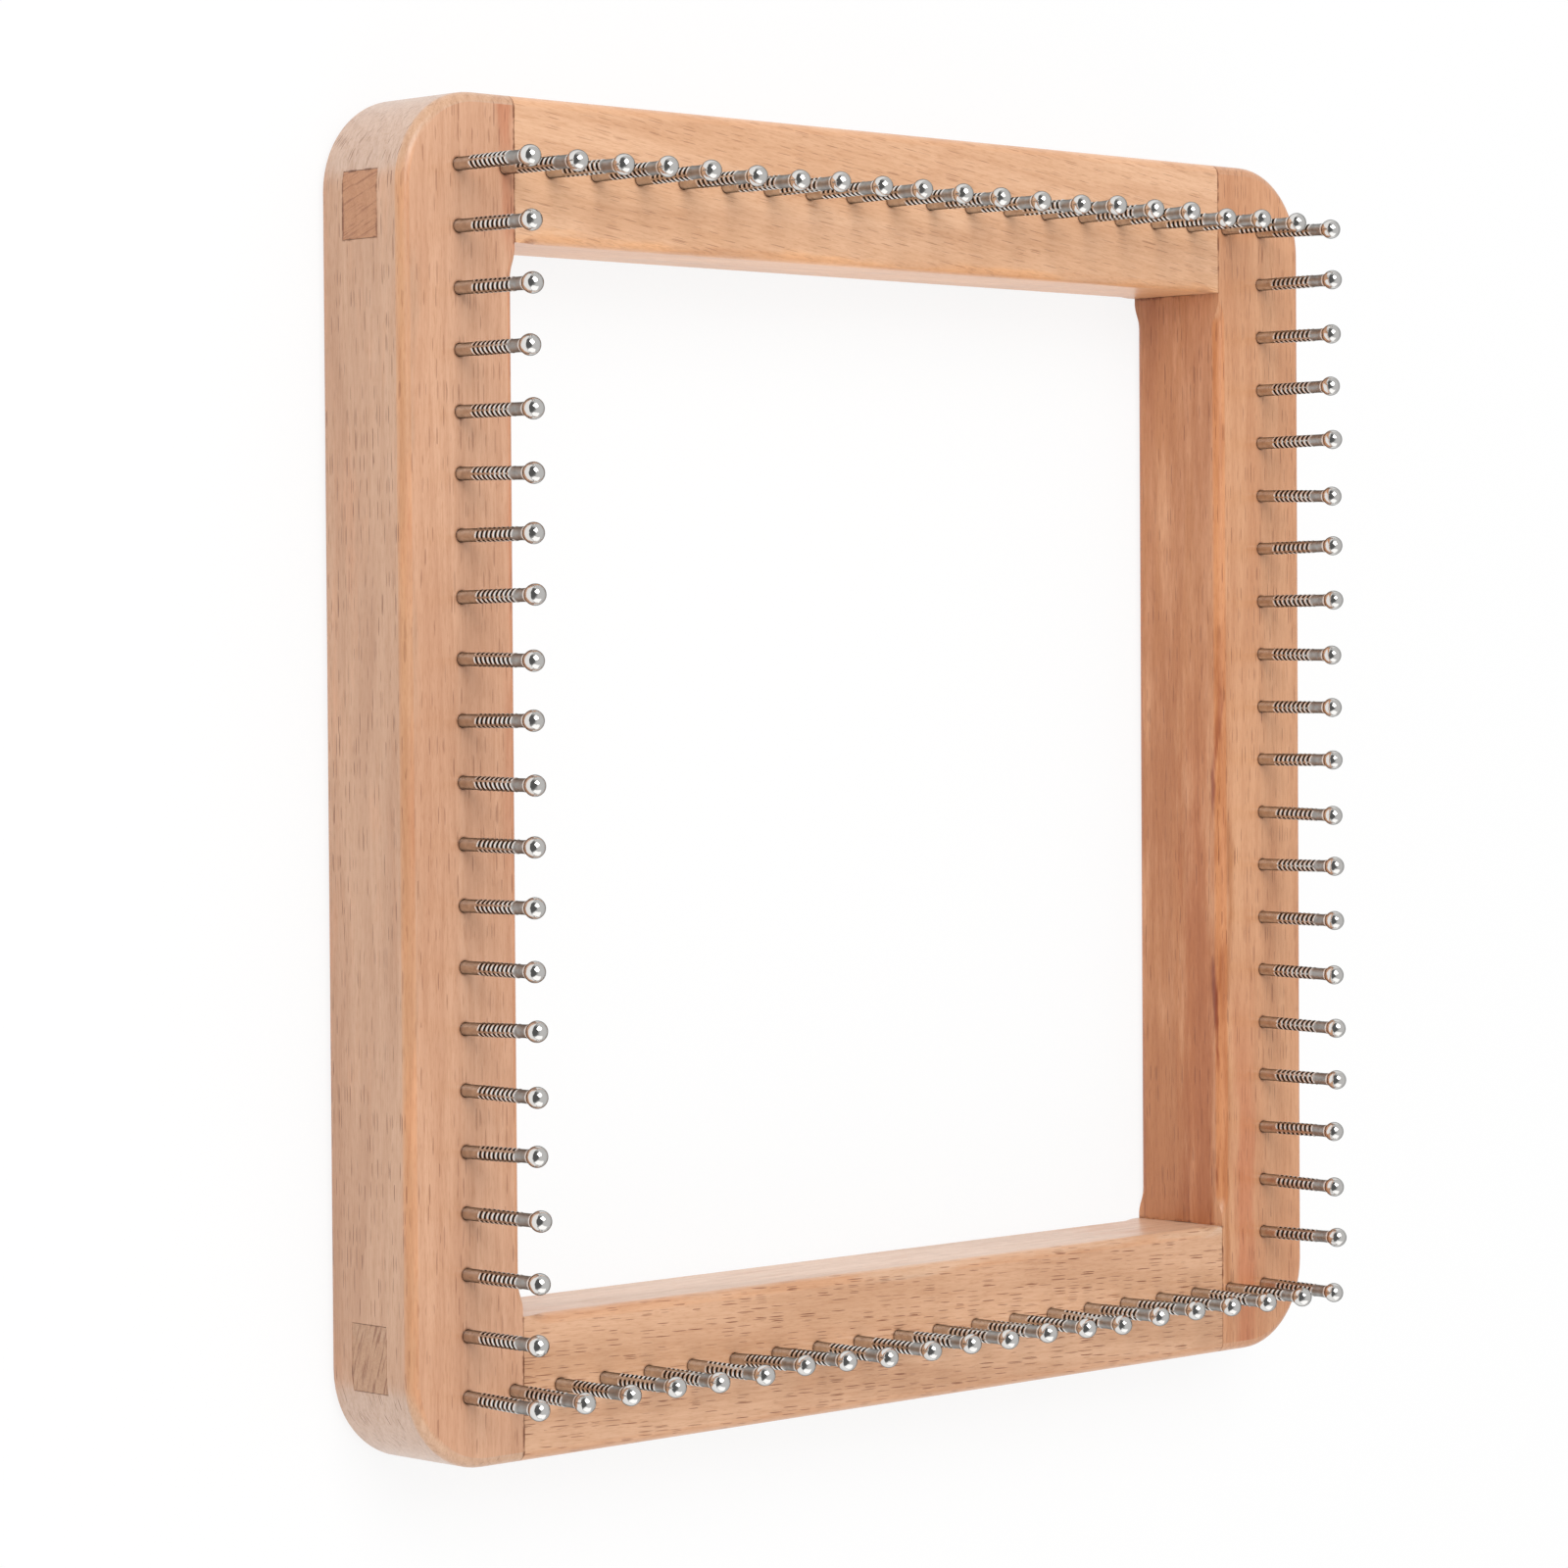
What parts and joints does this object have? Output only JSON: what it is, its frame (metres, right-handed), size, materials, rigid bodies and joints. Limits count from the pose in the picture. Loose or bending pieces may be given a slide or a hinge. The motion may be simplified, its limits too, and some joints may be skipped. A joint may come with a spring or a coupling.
{
  "type": "square pin loom",
  "caption": "Square wooden pin loom: a mortised and tenoned beech frame with rounded edges and an open middle, ringed by upright ball-headed steel pins that hold the yarn.",
  "frame": {"origin": "centre of the frame's back face, on the surface that the loom lies on", "axes": "+X to the right and +Y to the top of the loom, seen from the pins; +Z from the back face to the ball heads"},
  "size_m": [0.224, 0.224, 0.0403],
  "materials": {
    "stile_beech": "sanded beech, bare or thinly oiled",
    "rail_beech": "sanded beech, bare or thinly oiled",
    "pin_steel": "bright nickel plate with pressed grip marks"
  },
  "bodies": {
    "root": {"left_stile": "stile_beech", "right_stile": "stile_beech", "top_rail": "rail_beech", "bottom_rail": "rail_beech", "warp_pins_01": "pin_steel", "warp_pins_02": "pin_steel", "warp_pins_03": "pin_steel", "warp_pins_04": "pin_steel", "warp_pins_05": "pin_steel", "warp_pins_06": "pin_steel", "warp_pins_07": "pin_steel", "warp_pins_08": "pin_steel", "warp_pins_09": "pin_steel", "warp_pins_10": "pin_steel", "warp_pins_11": "pin_steel", "warp_pins_12": "pin_steel", "warp_pins_13": "pin_steel", "warp_pins_14": "pin_steel", "warp_pins_15": "pin_steel", "warp_pins_16": "pin_steel", "warp_pins_17": "pin_steel", "warp_pins_18": "pin_steel", "warp_pins_19": "pin_steel", "warp_pins_20": "pin_steel", "warp_pins_21": "pin_steel", "weft_pins_01": "pin_steel", "weft_pins_02": "pin_steel", "weft_pins_03": "pin_steel", "weft_pins_04": "pin_steel", "weft_pins_05": "pin_steel", "weft_pins_06": "pin_steel", "weft_pins_07": "pin_steel", "weft_pins_08": "pin_steel", "weft_pins_09": "pin_steel", "weft_pins_10": "pin_steel", "weft_pins_11": "pin_steel", "weft_pins_12": "pin_steel", "weft_pins_13": "pin_steel", "weft_pins_14": "pin_steel", "weft_pins_15": "pin_steel", "weft_pins_16": "pin_steel", "weft_pins_17": "pin_steel", "weft_pins_18": "pin_steel", "weft_pins_19": "pin_steel"}
  },
  "joints": []
}
